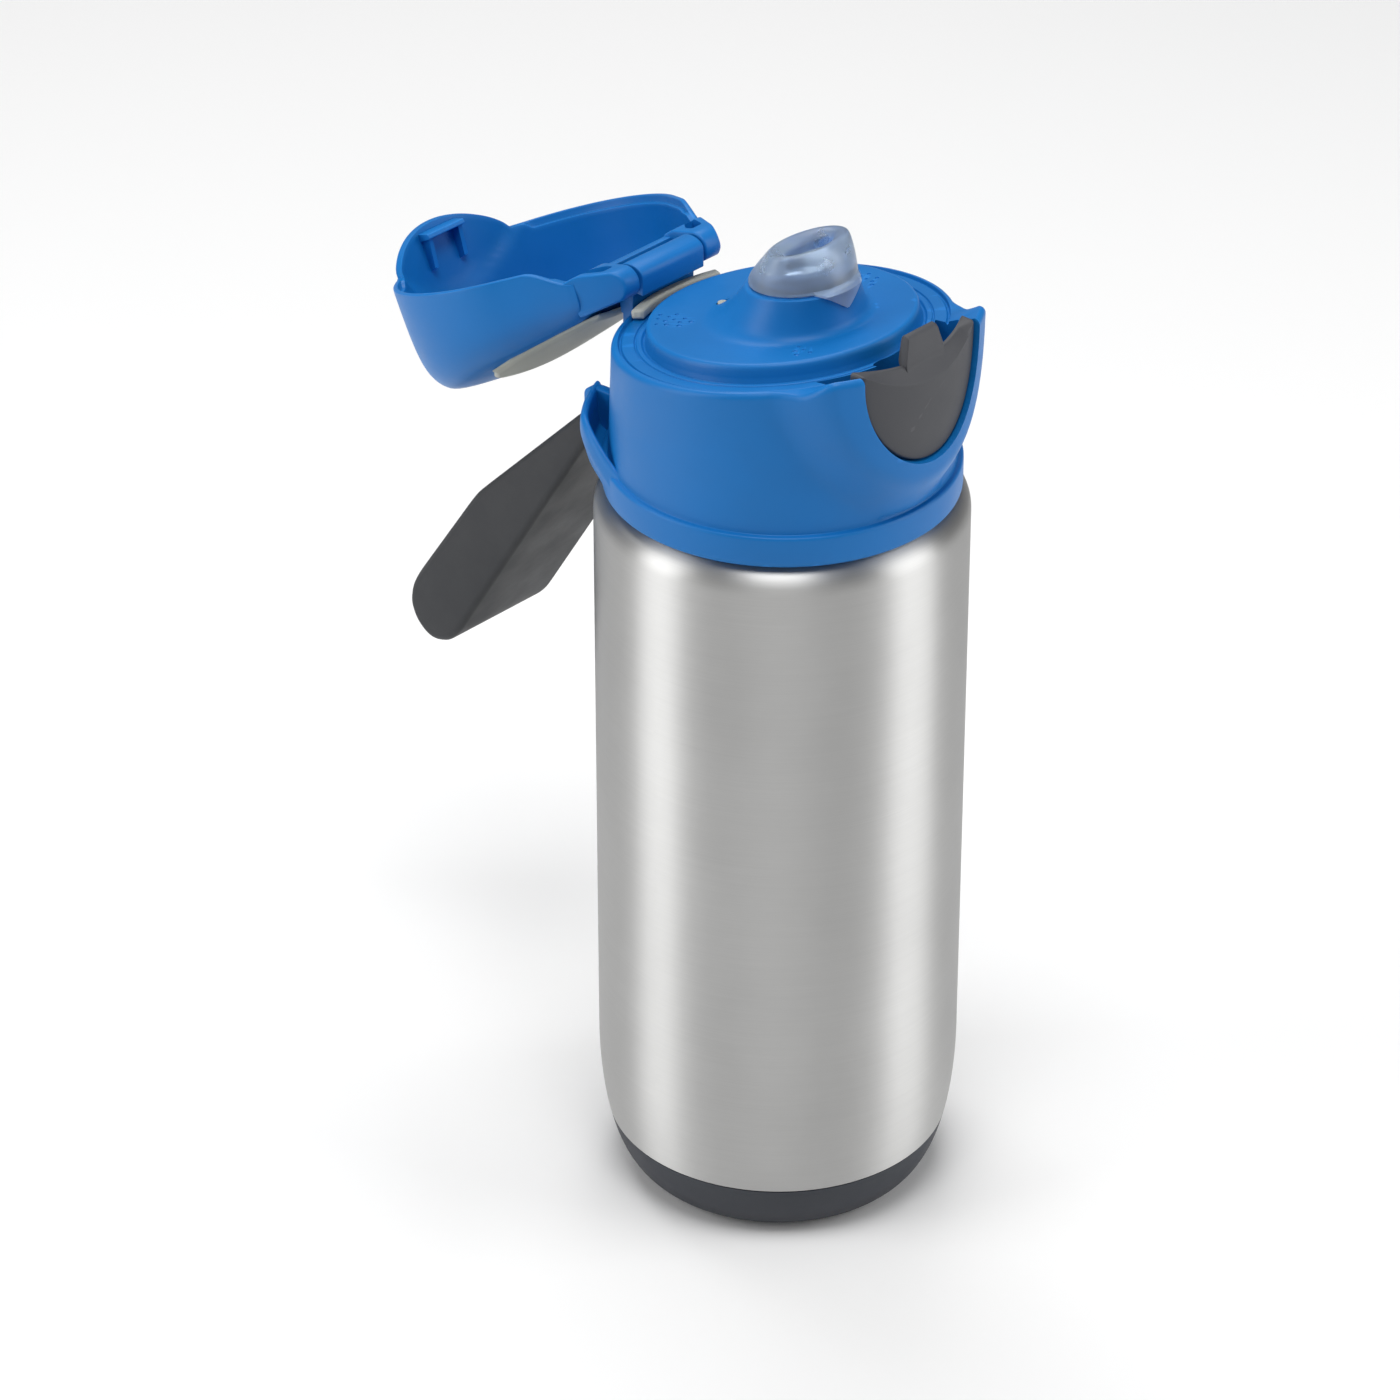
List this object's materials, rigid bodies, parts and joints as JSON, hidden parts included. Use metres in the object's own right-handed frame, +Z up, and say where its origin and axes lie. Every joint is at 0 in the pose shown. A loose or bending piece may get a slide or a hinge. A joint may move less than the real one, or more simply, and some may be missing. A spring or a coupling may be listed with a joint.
{
  "type": "water bottle",
  "caption": "insulated steel drinking bottle with screw lid, soft spout under a hinged flip cap, front latch button and rear swinging carry handle",
  "frame": {"origin": "centre of the bottle's base, on the surface it stands on", "axes": "+Z up along the bottle, -Y to the front with the latch button, +Y to the back with the cap hinge and the handle, X = 0 is the mirror plane"},
  "size_m": [0.073, 0.135, 0.2121],
  "materials": {
    "bumper": "matt silicone rubber",
    "steel": "plain drawn stainless steel",
    "brushed_wall": "stainless steel brushed around the bottle",
    "blue_plastic": "satin moulded polypropylene",
    "white_plastic": "natural moulded polypropylene",
    "clear_silicone": "translucent soft silicone",
    "pale_silicone": "matt pale grey silicone",
    "grey_plastic": "fine textured dark grey plastic",
    "dark_plastic": "fine textured charcoal plastic"
  },
  "bodies": {
    "bottle": {"base_bumper": "bumper", "base_cup": "steel", "getter": "steel", "vacuum_seal": "steel", "outer_shell": "brushed_wall", "inner_flask": "steel"},
    "seal": {"lid_gasket": "pale_silicone"},
    "lid": {"lid_body": "blue_plastic", "lid_insert": "white_plastic", "spout": "clear_silicone", "spout_clip": "white_plastic", "vent_valve": "pale_silicone", "hinge_pin": "steel", "hinge_pad": "pale_silicone", "button_spring": "steel"},
    "button": {"latch_button": "grey_plastic"},
    "cap": {"flip_cap": "blue_plastic", "cap_inlay": "pale_silicone"},
    "handle": {"handle": "dark_plastic"}
  },
  "joints": [
    {"name": "lid_lift", "type": "slide", "parent": "bottle", "child": "seal", "axis": [0, 0, 1], "range_m": [0, 0.00675]},
    {"name": "lid_turn", "type": "hinge", "parent": "seal", "child": "lid", "pos_m": [0, 0, 0.17], "axis": [0, 0, 1], "range_deg": [0, 540]},
    {"name": "cap_hinge", "type": "hinge", "parent": "lid", "child": "cap", "pos_m": [0, 0.0322, 0.193], "axis": [1, 0, 0], "range_deg": [0, 194.6]},
    {"name": "button_press", "type": "hinge", "parent": "lid", "child": "button", "pos_m": [0, -0.0334, 0.1855], "axis": [1, 0, 0], "range_deg": [0, 6], "stiffness_Nm_per_rad": 0.6},
    {"name": "handle_swing", "type": "hinge", "parent": "lid", "child": "handle", "pos_m": [0, 0.0356, 0.1643], "axis": [1, 0, 0], "range_deg": [-20, 22]}
  ],
  "couplings": [
    {"joint": "lid_lift", "follows": "lid_turn", "m_per_rad": 0.0007162}
  ]
}
